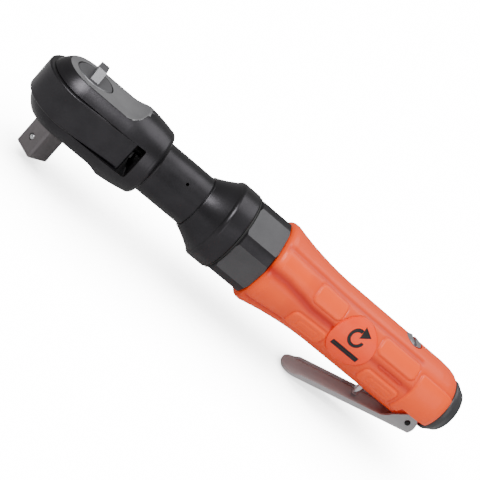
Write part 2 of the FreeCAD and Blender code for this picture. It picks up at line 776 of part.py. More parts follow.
def curved_disc(name, radius, inside, outside):
    """A disc bent round the grip on its -Y side, from the inside radius to the outside one."""
    shell = turned(name + "_shell", [
        ("badge_place - 20", inside),
        ("badge_place + 20", inside),
        ("badge_place + 20", outside),
        ("badge_place - 20", outside),
    ])
    punch = doc.addObject("Part::Cylinder", name + "_punch")
    bind(punch, {"Radius": radius, "Height": "30"})
    place(punch, x="badge_place", z="badge_rise", turn=Rotation(Vector(1, 0, 0), 90))
    disc = doc.addObject("Part::Common", name)
    disc.Base = shell
    disc.Tool = punch
    return disc


# Throttle

def make_throttle():
    """Valve across the handle: stem, poppet on its seat, spring and the screw plug over it."""
    seat = "valve_seat_height"
    stem = turned("valve_stem", [
        ("0", "-stem_bottom"),
        ("1.2", "-stem_bottom"),
        ("stem_radius", "0.8 - stem_bottom"),
        ("stem_radius", "-" + seat + " + 0.01"),
        ("0", "-" + seat + " + 0.01"),
    ], axis="V_Axis")
    keep(stem, "valve_stem", x="valve_place")
    poppet = turned("valve_poppet", [
        ("0", "0.02 - " + seat),
        ("4", "0.02 - " + seat),
        ("4.5", "0.6 - " + seat),
        ("4.5", "2.6 - " + seat),
        ("2", "2.6 - " + seat),
        ("2", "5 - " + seat),
        ("0", "5 - " + seat),
    ], axis="V_Axis")
    keep(poppet, "valve_poppet", x="valve_place")
    spring_length = value("plug_bottom + valve_seat_height - 2.6")
    solid_piece("valve_spring", coil(3.1, 0.35, 5, spring_length), x="valve_place",
                z="axis_height + 2.6 - valve_seat_height")
    tube("valve_seat", "valve_bore", "3", "-valve_seat_height - 1.5", "1.5", turn=ALONG_Z, x="valve_place")
    tube("stem_bushing", "4", "stem_radius + 0.05", "-17.4", "4.4", turn=ALONG_Z, x="valve_place")
    tube("stem_seal", "3.4", "stem_radius + 0.05", "-18.4", "0.9", turn=ALONG_Z, x="valve_place")
    plug = turned("valve_plug", [
        ("0", "plug_bottom"),
        ("valve_bore - 0.02", "plug_bottom"),
        ("valve_bore - 0.02", "14.5"),
        ("3.6", "14.5"),
        ("3.6", "15.6"),
        ("valve_bore - 0.02", "15.6"),
        ("valve_bore - 0.02", "housing_radius + 0.02"),
        ("plug_radius", "housing_radius + 0.4"),
        ("plug_radius", "plug_top - 0.5"),
        ("plug_radius - 0.5", "plug_top"),
        ("0", "plug_top"),
    ], axis="V_Axis")
    block(plug, "1.6", "12", "3", "-0.8", "0", "plug_top - 1.4")
    keep(plug, "valve_plug", x="valve_place")
    tube("plug_seal", "valve_bore - 0.05", "3.65", "14.6", "0.9", turn=ALONG_Z, x="valve_place")


def make_lever():
    """Pressed-steel lever: plate, low side flanges and two cheeks that hold the pin."""
    offset, reach = "lever_offset", "lever_reach"
    bottom = "-%s - lever_sheet" % offset
    body = plate("throttle_lever", "XZ_Plane", [
        ("-" + reach, bottom),
        ("3.2", bottom),
        ("5", "0", "7"),
        ("-2.6", "4.27", "5"),
        ("-9.6", "0.4"),
        ("-15", "1.25 - " + offset, "-9"),
        ("10 - " + reach, "1.25 - " + offset),
        ("7 - " + reach, "-" + offset),
        ("-" + reach, "-" + offset),
    ], "2 * lever_half_width", middle=True)
    padded(body, "XZ_Plane", [
        ("-" + reach + " - 5", "-" + offset),
        ("3.2 + 4", "-" + offset),
        ("3.2 + 4", "8"),
        ("-" + reach + " - 5", "8"),
    ], "2 * (lever_half_width - lever_sheet)", kind="Pocket", middle=True)
    edged(body, "7.5", lambda edge: edge.BoundBox.XMax < -71 and edge.BoundBox.ZLength > 1)
    rod(body, "pin_radius + 0.05", "40", y="-20", turn=ALONG_Y)
    turn = Rotation(Vector(0, 1, 0), -value("lever_angle"))
    keep(body, "throttle_lever", x="pin_place", z="axis_height - pin_drop", turn=turn)
    pin = doc.addObject("PartDesign::Body", "lever_pin")
    rod(pin, "pin_radius", "2 * pin_half_length", x="pin_place", y="-pin_half_length", z="-pin_drop",
        turn=ALONG_Y, kind="Additive")
    edged(pin, "0.3", rounded, kind="Chamfer")
    keep(pin, "lever_pin")


# Rear end

def make_rear():
    """Swivelling exhaust deflector with its felt, and the threaded air inlet with its screen."""
    deflector = turned("exhaust_deflector", [
        ("deflector_start", "inlet_radius + 0.08"),
        ("deflector_end", "inlet_radius + 0.08"),
        ("deflector_end", "12"),
        ("deflector_end - 1.5", "13.2", "2"),
        ("deflector_start + 2.5", "15.4"),
        ("deflector_start + 0.5", "15.4"),
        ("deflector_start", "14.9"),
    ])
    room = sketch_on(deflector, "YZ_Plane", "deflector_start")
    ring_outline(room, "12.6")
    ring_outline(room, "inlet_radius + 1.2")
    extruded(deflector, room, "5.6", kind="Pocket", back=True)
    vent = padded(deflector, "YZ_Plane", [
        ("-1.1", "inlet_radius + 1.8"),
        ("1.1", "inlet_radius + 1.8"),
        ("1.1", "11.2"),
        ("-1.1", "11.2"),
    ], "20", offset="deflector_start", kind="Pocket", back=True)
    repeated(deflector, vent, "12")
    keep(deflector, "exhaust_deflector")
    tube("silencer_felt", "12.4", "inlet_radius + 1.4", "deflector_start + 0.4", "4.8")
    inlet = turned("inlet_bushing", [
        ("216", "0"),
        ("inlet_end", "0"),
        ("inlet_end", "inlet_radius - 0.8"),
        ("inlet_end - 0.8", "inlet_radius"),
        ("housing_end + 0.1", "inlet_radius"),
        ("housing_end + 0.1", "7"),
        ("216", "7"),
    ])
    rod(inlet, "4", "60", x="210")
    rod(inlet, "inlet_thread", "inlet_thread_length + 1", x="inlet_end - inlet_thread_length")
    keep(inlet, "inlet_bushing")
    tube("inlet_screen", "6.9", "0.6", "214.3", "1")


make_ratchet_housing()
make_ratchet_yoke()
make_square_drive()
make_pawl()
make_knob()
make_head_trim()
make_crankshaft()
make_crank_bearings()
make_planets()
make_gear_ring()
make_clamp_nut()
make_motor_housing()
make_motor()
make_grip_sleeve()
make_throttle()
make_lever()
make_rear()
doc.recompute()

# Every object must be sound, and every cut must take something away, before anything is written.
faults = []
for thing in doc.Objects:
    if "Invalid" in thing.State or "Error" in thing.State:
        faults.append("%s has failed" % thing.Name)
        continue
    base = getattr(thing, "BaseFeature", None)
    cuts = "Pocket" in thing.TypeId or "Subtractive" in thing.TypeId
    if cuts and base and thing.Shape.Volume > base.Shape.Volume - 1e-6:
        faults.append("%s cuts nothing" % thing.Name)
for piece in subparts:
    if piece.Shape.isNull() or not piece.Shape.isValid():
        faults.append("%s has no valid shape" % piece.Label)
if faults:
    raise RuntimeError("; ".join(faults))

os.makedirs("parts", exist_ok=True)
for piece in subparts:
    piece.Shape.exportStep("parts/%s.step" % piece.Label)
    print("%-24s %10.1f mm3 %2d solids" % (piece.Label, piece.Shape.Volume, len(piece.Shape.Solids)))
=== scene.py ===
import json
import math

import bmesh
import bpy
import numpy as np
from mathutils import Matrix, Vector


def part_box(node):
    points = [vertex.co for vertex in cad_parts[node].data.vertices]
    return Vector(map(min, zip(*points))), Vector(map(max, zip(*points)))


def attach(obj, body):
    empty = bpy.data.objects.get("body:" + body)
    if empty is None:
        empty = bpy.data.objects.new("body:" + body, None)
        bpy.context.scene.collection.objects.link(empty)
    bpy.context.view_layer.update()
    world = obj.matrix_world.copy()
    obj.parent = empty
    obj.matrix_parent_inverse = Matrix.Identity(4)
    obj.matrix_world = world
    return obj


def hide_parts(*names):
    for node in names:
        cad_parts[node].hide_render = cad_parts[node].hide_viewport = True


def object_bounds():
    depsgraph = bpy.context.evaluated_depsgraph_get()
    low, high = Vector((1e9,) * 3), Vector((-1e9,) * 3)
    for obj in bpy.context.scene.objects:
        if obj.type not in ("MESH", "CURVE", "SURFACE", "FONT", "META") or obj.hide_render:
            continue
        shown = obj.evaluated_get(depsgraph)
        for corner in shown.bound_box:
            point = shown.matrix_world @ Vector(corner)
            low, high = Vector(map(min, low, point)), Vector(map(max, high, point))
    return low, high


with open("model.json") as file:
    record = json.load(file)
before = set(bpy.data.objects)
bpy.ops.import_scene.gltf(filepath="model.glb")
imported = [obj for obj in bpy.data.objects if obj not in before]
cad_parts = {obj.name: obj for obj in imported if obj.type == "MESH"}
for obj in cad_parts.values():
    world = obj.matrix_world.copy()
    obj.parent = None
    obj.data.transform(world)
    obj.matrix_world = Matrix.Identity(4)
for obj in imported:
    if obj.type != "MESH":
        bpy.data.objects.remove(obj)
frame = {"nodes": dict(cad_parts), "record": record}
cad_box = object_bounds()
nodes = frame["nodes"]
AXIS_Z = 0.017          # height of the tool axis above the drive's shoulder

# ---------------------------------------------------------------------------
# Camera: a long lens above the tool's head end, turned so that the tool lies
# across the view from the upper left to the lower right.
EYE = Vector((-0.0384, -0.4859, 0.2007))
AZIMUTH, ELEVATION, ROLL = math.radians(16), math.radians(-19.8), math.radians(45.5)
HALF_VIEW, FOCAL_LENGTH = 240, 1108      # in the view's own units
DOWN = 0.003            # how far the eye sits below EYE, in the view's plane
lens = bpy.data.cameras.new("camera")
lens.angle = 2 * math.atan(HALF_VIEW / FOCAL_LENGTH)
lens.clip_end = 20
camera = bpy.data.objects.new("camera", lens)
bpy.context.scene.collection.objects.link(camera)
ahead = Vector((math.sin(AZIMUTH), math.cos(AZIMUTH), 0)) * math.cos(ELEVATION)
ahead.z = math.sin(ELEVATION)
level = ahead.cross(Vector((0, 0, 1))).normalized()
upward = level.cross(ahead)
across = level * math.cos(ROLL) + upward * math.sin(ROLL)
lift = upward * math.cos(ROLL) - level * math.sin(ROLL)
turn = Matrix((across, lift, -ahead)).transposed().to_4x4()
camera.matrix_world = Matrix.Translation(EYE - DOWN * lift) @ turn
bpy.context.scene.camera = camera

# ---------------------------------------------------------------------------
# Studio: the tool stands on a glowing white sheet whose glow dims near the tool,
# a painted shadow, under a big soft light on the left, one above and a dim fill.
PURE_WHITE = 16         # strength at which a sheet or the sky shows as plain white
SKY_LIGHT = 0.36        # strength of the sky as a light on the tool
world = bpy.data.worlds.new("studio")
bpy.context.scene.world = world
world.use_nodes = True
sky = world.node_tree
sky.nodes["Background"].inputs["Color"].default_value = (1, 1, 1, 1)
sky_strength = sky.nodes.new("ShaderNodeMath")
sky_strength.operation = "MULTIPLY_ADD"
sky_strength.inputs[1].default_value = PURE_WHITE
sky_strength.inputs[2].default_value = SKY_LIGHT
sky_ray = sky.nodes.new("ShaderNodeLightPath")
sky.links.new(sky_ray.outputs["Is Camera Ray"], sky_strength.inputs[0])
sky.links.new(sky_strength.outputs["Value"], sky.nodes["Background"].inputs["Strength"])


def glowing_sheet(name, half, centre):
    """A big level sheet that glows pure white to the camera, with a faint painted shadow near the tool."""
    mesh = bpy.data.meshes.new(name)
    corners = ((-half, -half), (half, -half), (half, half), (-half, half))
    mesh.from_pydata([centre + Vector((x, y, 0)) for x, y in corners], [], [(0, 1, 2, 3)])
    sheet = bpy.data.objects.new(name, mesh)
    bpy.context.scene.collection.objects.link(sheet)
    paper = bpy.data.materials.new(name)
    paper.use_nodes = True
    tree = paper.node_tree
    shader = tree.nodes["Principled BSDF"]
    shader.inputs["Base Color"].default_value = (0.55, 0.55, 0.55, 1)
    shader.inputs["Roughness"].default_value = 0.9
    glow = tree.nodes.new("ShaderNodeEmission")
    # Painted shadow: ambient occlusion near the tool lowers the glow's strength, darkening the sheet
    # there.
    hidden = tree.nodes.new("ShaderNodeAmbientOcclusion")
    hidden.inputs["Distance"].default_value = 0.07
    hidden.samples = 8
    strength = tree.nodes.new("ShaderNodeMapRange")
    strength.inputs["From Min"].default_value = 0.35
    strength.inputs["From Max"].default_value = 0.95
    strength.inputs["To Min"].default_value = 2.2
    strength.inputs["To Max"].default_value = PURE_WHITE
    tree.links.new(hidden.outputs["AO"], strength.inputs["Value"])
    tree.links.new(strength.outputs["Result"], glow.inputs["Strength"])
    seen = tree.nodes.new("ShaderNodeLightPath")
    mix = tree.nodes.new("ShaderNodeMixShader")
    tree.links.new(seen.outputs["Is Camera Ray"], mix.inputs[0])
    tree.links.new(shader.outputs["BSDF"], mix.inputs[1])
    tree.links.new(glow.outputs["Emission"], mix.inputs[2])
    clear = tree.nodes.new("ShaderNodeBsdfTransparent")
    side = tree.nodes.new("ShaderNodeNewGeometry")
    from_below = tree.nodes.new("ShaderNodeMixShader")
    tree.links.new(side.outputs["Backfacing"], from_below.inputs[0])
    tree.links.new(mix.outputs["Shader"], from_below.inputs[1])
    tree.links.new(clear.outputs["BSDF"], from_below.inputs[2])
    tree.links.new(from_below.outputs["Shader"], tree.nodes["Material Output"].inputs["Surface"])
    mesh.materials.append(paper)


glowing_sheet("floor", 12.0, Vector((0.12, 0, cad_box[0][2] - 0.0005)))


def soft_light(name, centre, target, size, power):
    """A square softbox aimed at a point."""
    lamp = bpy.data.lights.new(name, "AREA")
    lamp.size = size
    lamp.energy = power
    box = bpy.data.objects.new(name, lamp)
    aim = (target - centre).to_track_quat("-Z", "Y").to_matrix().to_4x4()
    box.matrix_world = Matrix.Translation(centre) @ aim
    bpy.context.scene.collection.objects.link(box)


middle = Vector((0.12, 0, AXIS_Z))
soft_light("key", middle + Vector((-0.35, -0.45, 0.75)), middle, 0.45, 9.5)
soft_light("top", middle + Vector((0.25, 0.15, 0.8)), middle, 0.6, 3.5)
soft_light("fill", middle + Vector((0.6, -0.9, 0.25)), middle, 0.7, 3)

# ---------------------------------------------------------------------------
# Head forging, yoke and clamp nut: alloy steel, forged and turned, and then
# blackened satin. The flat round the knob and the scallop behind it, which face up
# towards the key light, are painted a lighter grey: a painted highlight.


def surface(name, colour, roughness, metallic, spread=0.12, grain=900.0, bump=0.04, second=None,
            stretch=(1, 1, 1)):
    """A material with mottled colour, uneven roughness and a fine bump, laid in the piece's own space."""
    material = bpy.data.materials.new(name)
    material.use_nodes = True
    tree = material.node_tree
    shader = tree.nodes["Principled BSDF"]
    shader.inputs["Metallic"].default_value = metallic
    place = tree.nodes.new("ShaderNodeTexCoord")
    mapping = tree.nodes.new("ShaderNodeMapping")
    mapping.inputs["Scale"].default_value = stretch
    tree.links.new(place.outputs["Object"], mapping.inputs["Vector"])

    def noise(scale, detail):
        texture = tree.nodes.new("ShaderNodeTexNoise")
        texture.inputs["Scale"].default_value = scale
        texture.inputs["Detail"].default_value = detail
        tree.links.new(mapping.outputs["Vector"], texture.inputs["Vector"])
        return texture

    cloud = noise(grain / 14, 4)
    tint = tree.nodes.new("ShaderNodeValToRGB")
    other = second or tuple(part * (1 - spread) for part in colour)
    tint.color_ramp.elements[0].position = 0.35
    tint.color_ramp.elements[0].color = (*other, 1)
    tint.color_ramp.elements[1].position = 0.62
    tint.color_ramp.elements[1].color = (*colour, 1)
    tree.links.new(cloud.outputs["Fac"], tint.inputs["Fac"])
    tree.links.new(tint.outputs["Color"], shader.inputs["Base Color"])
    fine = noise(grain, 5)
    rough = tree.nodes.new("ShaderNodeMapRange")
    rough.inputs["To Min"].default_value = roughness * (1 - spread)
    rough.inputs["To Max"].default_value = roughness * (1 + spread)
    tree.links.new(fine.outputs["Fac"], rough.inputs["Value"])
    tree.links.new(rough.outputs["Result"], shader.inputs["Roughness"])
    height = tree.nodes.new("ShaderNodeBump")
    height.inputs["Strength"].default_value = bump
    height.inputs["Distance"].default_value = 0.0003
    tree.links.new(fine.outputs["Fac"], height.inputs["Height"])
    tree.links.new(height.outputs["Normal"], shader.inputs["Normal"])
    return material


def finish_node(name, material, edge=0.0):
    """Give a CAD piece its material and, if edge is above 0, rounded edges of that width."""
    piece = nodes[name]
    piece.data.materials.clear()
    piece.data.materials.append(material)
    if edge:
        weld = piece.modifiers.new("weld", "WELD")
        weld.merge_threshold = 0.000005
        bevel = piece.modifiers.new("edges", "BEVEL")
        bevel.width = edge
        bevel.segments = 2
        bevel.limit_method = "ANGLE"
        bevel.angle_limit = math.radians(35)
        bevel.harden_normals = True


black_steel = surface("black_steel", (0.04, 0.038, 0.042), 0.32, 0.85, spread=0.2, grain=1400, bump=0.05)
for name in ("ratchet_housing", "ratchet_yoke", "clamp_nut"):
    finish_node(name, black_steel)
top_highlight_steel = surface("top_highlight_steel", (0.34, 0.34, 0.35), 0.45, 0.85, grain=1200)
knob_steel = surface("knob_steel", (0.2, 0.2, 0.21), 0.42, 0.85, grain=1200)
finish_node("reversing_knob", knob_steel, edge=0.0006)
head = nodes["ratchet_housing"].data
head.materials.append(top_highlight_steel)
# Painted highlight: the up-facing faces of the flat and the scallop take the lighter grey.
for face in head.polygons:
    place, normal = face.center, face.normal
    on_flat = normal.z > 0.95 and place.z > AXIS_Z + 0.012 and place.x < 0.03
    on_scallop = normal.x < -0.1 and normal.z > 0.1 and place.z > AXIS_Z + 0.0135 and place.x > 0.02
    if on_flat or on_scallop:
        face.material_index = 1

# ---------------------------------------------------------------------------
# Gear ring: turned steel with six wrench flats in a mid grey steel. The rest of
# the ring, round strips included, takes the nut's black steel, which on the strips is a
# painted dark reflection. The black joint ring and the valve's seals are nitrile rubber.
# Painted reflection: the whole ring first takes the black steel, which shows on the round strips as a dark
# reflection.
finish_node("gear_ring", black_steel)
ring_steel = surface("ring_steel", (0.082, 0.082, 0.086), 0.48, 0.6, grain=1200)
ring = nodes["gear_ring"].data
ring.materials.append(ring_steel)
for face in ring.polygons:
    reach = face.normal.y * face.center.y + face.normal.z * (face.center.z - AXIS_Z)
    if abs(face.normal.x) < 0.1 and 0.0203 < reach < 0.0209:
        face.material_index = 1
seal_rubber = surface("seal_rubber", (0.012, 0.012, 0.012), 0.7, 0.0)
for name in ("joint_ring", "plug_seal", "stem_seal"):
    finish_node(name, seal_rubber)

# ---------------------------------------------------------------------------
# Square drive: hardened and phosphated, with a polished ball in one face. The
# valve's stem and plug and the drive's retaining ring and washer are bright too.
drive_steel = surface("drive_steel", (0.19, 0.175, 0.18), 0.32, 0.9, grain=1600)
finish_node("square_drive", drive_steel, edge=0.0004)
bright_steel = surface("bright_steel", (0.72, 0.72, 0.74), 0.18, 1.0, spread=0.06, grain=2200, bump=0.02)
for name in ("detent_ball", "valve_stem", "valve_plug", "drive_retaining_ring", "thrust_washer"):
    finish_node(name, bright_steel)

# ---------------------------------------------------------------------------
# Grip: moulded orange composite with a bell-shaped flange, a waist, raised
# rounded pads in two rows on each side, and a seat for the round badge.
orange = surface("orange_composite", (1.0, 0.06, 0.0), 0.46, 0.0, spread=0.05, grain=2600, bump=0.08,
                 second=(0.97, 0.05, 0.0))
resin_shader = orange.node_tree.nodes["Principled BSDF"]
resin_shader.inputs["Coat Weight"].default_value = 0.1
resin_shader.inputs["Specular IOR Level"].default_value = 0.4
# Painted light: the resin glows faintly red-orange though it is no lamp, brightening every face of the
# grip and badge.
resin_shader.inputs["Emission Color"].default_value = (1.0, 0.04, 0.0, 1)
resin_shader.inputs["Emission Strength"].default_value = 0.15
GRIP_START, GRIP_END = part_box("grip_sleeve")[0][0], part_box("grip_sleeve")[1][0]
GRIP_CORE = 0.01665     # radius of the motor's housing inside the grip
REAR_BORE = 0.0106      # radius of the hole in the grip's rear end
REAR_WALL = 0.2201      # place along the tool where the rear end's wall starts
SIDE_RADIUS = 0.0187    # radius on which the sides' pads and creases are set out
PAD_HEIGHT, PAD_EDGE = 0.0007, 0.0006
BADGE_PLACE, BADGE_RISE = 0.175, 0.002


def smooth(value):
    """A soft step from 0 to 1 as value goes from -1 to 1."""
    share = np.clip((value + 1) / 2, 0, 1)
    return share * share * (3 - 2 * share)


def grip_profile(x):
    """Radius of the plain grip along the tool, in metres."""
    flange = ((0.1172, 21.4), (0.1182, 22.7), (0.1195, 23.2), (0.1215, 23.25), (0.124, 22.7))
    bell = ((0.128, 21.9), (0.134, 20.8), (0.140, 20.0), (0.146, 19.3), (0.152, 18.8), (0.160, 18.45))
    rear = ((0.226, 18.35), (0.232, 17.9), (0.2352, 17.2), (0.2371, 16.3), (0.238, 15.4))
    along, radius = zip(*flange, *bell, *rear)
    return np.interp(x, along, np.array(radius) / 1000)


def from_pad(x, side, x_ends, angle_ends, corner=0.0025):
    """Distance outside a rounded rectangle on the grip's side, below 0 inside it."""
    around = side * SIDE_RADIUS
    middle_x, half_x = sum(x_ends) / 2, (x_ends[1] - x_ends[0]) / 2
    low_end, high_end = (math.radians(angle) * SIDE_RADIUS for angle in angle_ends)
    middle_a, half_a = (low_end + high_end) / 2, (high_end - low_end) / 2
    over_x = np.abs(x - middle_x) - half_x + corner
    over_a = np.abs(around - middle_a) - half_a + corner
    beyond = np.hypot(np.maximum(over_x, 0), np.maximum(over_a, 0))
    return beyond + np.minimum(np.maximum(over_x, over_a), 0) - corner


def crease(x, side, path, width):
    """1 on a bent line of (place along the tool, angle in degrees), falling softly to 0 beside it."""
    around = side * SIDE_RADIUS
    nearest = np.full(x.shape, 1.0)
    for (x0, a0), (x1, a1) in zip(path, path[1:]):
        y0, y1 = math.radians(a0) * SIDE_RADIUS, math.radians(a1) * SIDE_RADIUS
        run, climb = x1 - x0, y1 - y0
        share = np.clip(((x - x0) * run + (around - y0) * climb) / (run * run + climb * climb), 0, 1)
        nearest = np.minimum(nearest, np.hypot(x - x0 - share * run, around - y0 - share * climb))
    return np.exp(-(nearest / width) ** 2)


PADS = (
    ((0.1445, 0.1625), (19, 50), 0.0025),
    ((0.1425, 0.1635), (-38, -8), 0.0025),
    ((0.1875, 0.2125), (21, 50), 0.0025),
    ((0.1905, 0.2125), (-38, -8), 0.0025),
    ((0.2155, 0.2500), (-40, 42), 0.001),
)
PANELS = (((0.1470, 0.1600), (-30, -16)), ((0.1950, 0.2100), (-30, -16)), ((0.1935, 0.2100), (3, 8)))
CREASES = (                 # depth, width and path; the last two are bumps, so their depth is below 0
    (0.0013, 0.0024, ((0.1180, 15), (0.1290, 15), (0.1390, 11), (0.1480, 6), (0.1640, 6))),
    (0.0008, 0.0024, ((0.188, 6), (0.2135, 6))),
    (0.0008, 0.0013, ((0.1195, -36), (0.1320, -40), (0.1410, -41))),
    (0.0006, 0.0016, ((0.1195, 52), (0.1320, 55), (0.1450, 58), (0.2120, 58))),
    (-0.0006, 0.0055, ((0.1230, 34), (0.1330, 34))),
    (-0.0006, 0.0055, ((0.1230, -12), (0.1310, -14))),
)


def grip_radius(x, angle):
    """Radius of the finished grip at a place along the tool and an angle round it."""
    side = np.arcsin(np.clip(np.sin(angle), -1, 1))
    radius = grip_profile(x)
    for x_ends, angle_ends, corner in PADS:
        away = from_pad(x, side, x_ends, angle_ends, corner)
        radius = radius + PAD_HEIGHT * smooth(-away / PAD_EDGE)
        radius = radius - 0.0003 * np.exp(-((away - 0.0005) / 0.0005) ** 2)
    for x_ends, angle_ends in PANELS:
        away = from_pad(x, side, x_ends, angle_ends, 0.0015)
        radius = radius - 0.0003 * np.exp(-(away / 0.0004) ** 2)
    for depth, width, path in CREASES:
        radius = radius - depth * crease(x, side, path, width)
    return radius


def badge_seat(x, angle, radius):
    """Sink the seat of the badge on the -Y side, a little wider than the badge to leave a groove."""
    away = np.hypot(x - BADGE_PLACE, radius * np.sin(angle) - BADGE_RISE)
    inside = (away < 0.0129) & (np.cos(angle) > 0)
    return np.where(inside, 0.0179, radius)


def make_grip():
    """Closed shell of the grip on a fine grid; the cuts for the lever, the stem and the plug are made
    after it.
    """
    columns, rows, flange_columns, flange_end = 290, 318, 24, 0.124
    x = np.concatenate([np.linspace(GRIP_START, flange_end, flange_columns, endpoint=False),
                        np.linspace(flange_end, GRIP_END, columns - flange_columns)])
    angle = np.linspace(0, 2 * math.pi, rows, endpoint=False)
    grid_x, grid_a = np.meshgrid(x, angle, indexing="ij")
    plain = grip_radius(grid_x, grid_a)
    # Painted shade: how far the surface rises above or sinks below the plain profile, kept so that the
    # colour darkens in creases and hollows.
    relief_for_painted_shade = np.clip((plain - grip_profile(grid_x)) / 0.0011, -1, 0.6) / 1.6 + 0.625
    radius = badge_seat(grid_x, grid_a, plain)

    def on_round(place, reach, turned):
        ring = np.stack([place, -reach * np.cos(turned), AXIS_Z + reach * np.sin(turned)], axis=-1)
        return ring.reshape(-1, 3)

    bore = ((GRIP_END, REAR_BORE), (REAR_WALL, REAR_BORE), (REAR_WALL, GRIP_CORE), (GRIP_START, GRIP_CORE))
    rings = [on_round(np.full(rows, place), reach, angle) for place, reach in bore]
    points = np.concatenate([on_round(grid_x, radius, grid_a)] + rings)
    faces = []
    total = columns + len(rings)
    for column in range(total):
        after = (column + 1) % total
        for row in range(rows):
            up = (row + 1) % rows
            faces.append((column * rows + row, after * rows + row, after * rows + up, column * rows + up))
    mesh = bpy.data.meshes.new("grip_shell")
    mesh.from_pydata(points.tolist(), [], faces)
    mesh.update()
    height = mesh.attributes.new("relief_for_painted_shade", "FLOAT", "POINT")
    inner = np.full(rows * len(rings), 0.5)
    height.data.foreach_set("value", np.concatenate([relief_for_painted_shade.reshape(-1), inner]).astype(np.float32))
    grip = bpy.data.objects.new("grip_shell", mesh)
    bpy.context.scene.collection.objects.link(grip)
    return grip


def cutter(name, add):
    """A hidden solid that a boolean takes away."""
    mesh = bpy.data.meshes.new(name)
    work = bmesh.new()
    add(work)
    work.to_mesh(mesh)
    work.free()
    solid = bpy.data.objects.new(name, mesh)
    bpy.context.scene.collection.objects.link(solid)
    return solid


def cut_away(piece, solids):
    """Take the solids out of the piece and delete them."""
    for solid in solids:
        trim = piece.modifiers.new("cut", "BOOLEAN")
        trim.operation = "DIFFERENCE"
        trim.solver = "EXACT"
        trim.object = solid
    depsgraph = bpy.context.evaluated_depsgraph_get()
    result = bpy.data.meshes.new_from_object(piece.evaluated_get(depsgraph))
    piece.modifiers.clear()
    piece.data = result
    for solid in solids:
        bpy.data.objects.remove(solid)


def block_cutter(work, low_corner, high_corner):
    """A box from corner to corner."""
    size = Vector(high_corner) - Vector(low_corner)
    centre = (Vector(high_corner) + Vector(low_corner)) / 2
    bmesh.ops.create_cube(work, size=1, matrix=Matrix.Translation(centre) @ Matrix.Diagonal((*size, 1)))


grip = make_grip()
LUG = 0.0072            # half the width of the lug that the lever straddles
ROOM_START, ROOM_END, ROOM_TOP = 0.2204, 0.2423, 0.009
VALVE_PLACE = 0.2047


def hole_cutter(work, radius, segments, rise):
    """An upright round bar on the valve's axis."""
    bmesh.ops.create_cone(
        work, cap_ends=True, segments=segments, radius1=radius, radius2=radius, depth=0.02,
        matrix=Matrix.Translation((VALVE_PLACE, 0, AXIS_Z + rise)))


cut_away(grip, [
    cutter("near_room", lambda work: block_cutter(
        work, (ROOM_START, -0.03, -0.02), (ROOM_END, -LUG, ROOM_TOP))),
    cutter("far_room", lambda work: block_cutter(
        work, (ROOM_START, LUG, -0.02), (ROOM_END, 0.03, ROOM_TOP))),
    cutter("plug_hole", lambda work: hole_cutter(work, 0.0054, 48, 0.021)),
    cutter("stem_hole", lambda work: hole_cutter(work, 0.0046, 40, -0.021)),
])
grip_orange_painted_shade = orange.copy()
grip_orange_painted_shade.name = "grip_orange_painted_shade"
tree = grip_orange_painted_shade.node_tree
# Painted shade: the colour runs from deep red-orange in creases and hollows to full orange on the raised
# pads.
depth = tree.nodes.new("ShaderNodeAttribute")
depth.attribute_name = "relief_for_painted_shade"
shade = tree.nodes.new("ShaderNodeValToRGB")
shade.color_ramp.elements[0].color = (0.42, 0.008, 0.0, 1)
shade.color_ramp.elements[1].position = 0.85
shade.color_ramp.elements[1].color = (1.0, 0.085, 0.0, 1)
tree.links.new(depth.outputs["Fac"], shade.inputs["Fac"])
tree.links.new(shade.outputs["Color"], tree.nodes["Principled BSDF"].inputs["Base Color"])
grip.data.materials.clear()
grip.data.materials.append(grip_orange_painted_shade)
for face in grip.data.polygons:
    face.use_smooth = True
grip.data.set_sharp_from_angle(angle=math.radians(40))
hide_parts("grip_sleeve")
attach(grip, "handle")

# ---------------------------------------------------------------------------
# Badge: a round moulded label in its seat. Its printed mark is a plain turning
# arrow over a bar, in black ink.
# The badge takes the same orange, with its painted glow.
finish_node("badge", orange)
MARK_RADIUS = 0.01896   # the mark lies just above the badge's own round face
ink = surface("black_ink", (0.003, 0.002, 0.002), 0.5, 0.0, spread=0.1)


def printed(name, outlines):
    """Flat shapes in the badge's own plane, cut fine and laid on the round of the grip."""
    work = bmesh.new()
    for outline in outlines:
        corners = [work.verts.new((x, y, 0)) for x, y in outline]
        work.faces.new(corners)
    bmesh.ops.triangulate(work, faces=work.faces[:])
    bmesh.ops.subdivide_edges(work, edges=work.edges[:], cuts=3, use_grid_fill=True)
    for vert in work.verts:
        u, v = vert.co.x, vert.co.y
        rise = BADGE_RISE + v
        vert.co = Vector((BADGE_PLACE + u, -math.sqrt(MARK_RADIUS ** 2 - rise ** 2), AXIS_Z + rise))
    bmesh.ops.recalc_face_normals(work, faces=work.faces[:])
    mesh = bpy.data.meshes.new(name)
    work.to_mesh(mesh)
    work.free()
    if mesh.polygons[0].normal.y > 0:
        mesh.flip_normals()
    mesh.materials.append(ink)
    mark = bpy.data.objects.new(name, mesh)
    bpy.context.scene.collection.objects.link(mark)
    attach(mark, "handle")
    return mark


def ring_part(inner, outer, first, last, rise, count=28):
    """Quads of a ring between two angles, in degrees."""
    quads = []
    for step in range(count):
        ends = [math.radians(first + (last - first) * (step + more) / count) for more in (0, 1)]
        quads.append([(radius * math.cos(end), rise + radius * math.sin(end)) for radius, end in (
            (inner, ends[0]), (outer, ends[0]), (outer, ends[1]), (inner, ends[1]))])
    return quads


arrow_tip = [(0.0007, 0.0104), (0.0062, 0.0078), (0.0009, 0.0044)]
bar = [(-0.0085, -0.0064), (0.0085, -0.0064), (0.0085, -0.0036), (-0.0085, -0.0036)]
printed("badge_mark", ring_part(0.0030, 0.0048, 80, 360, 0.0037) + [arrow_tip, bar])

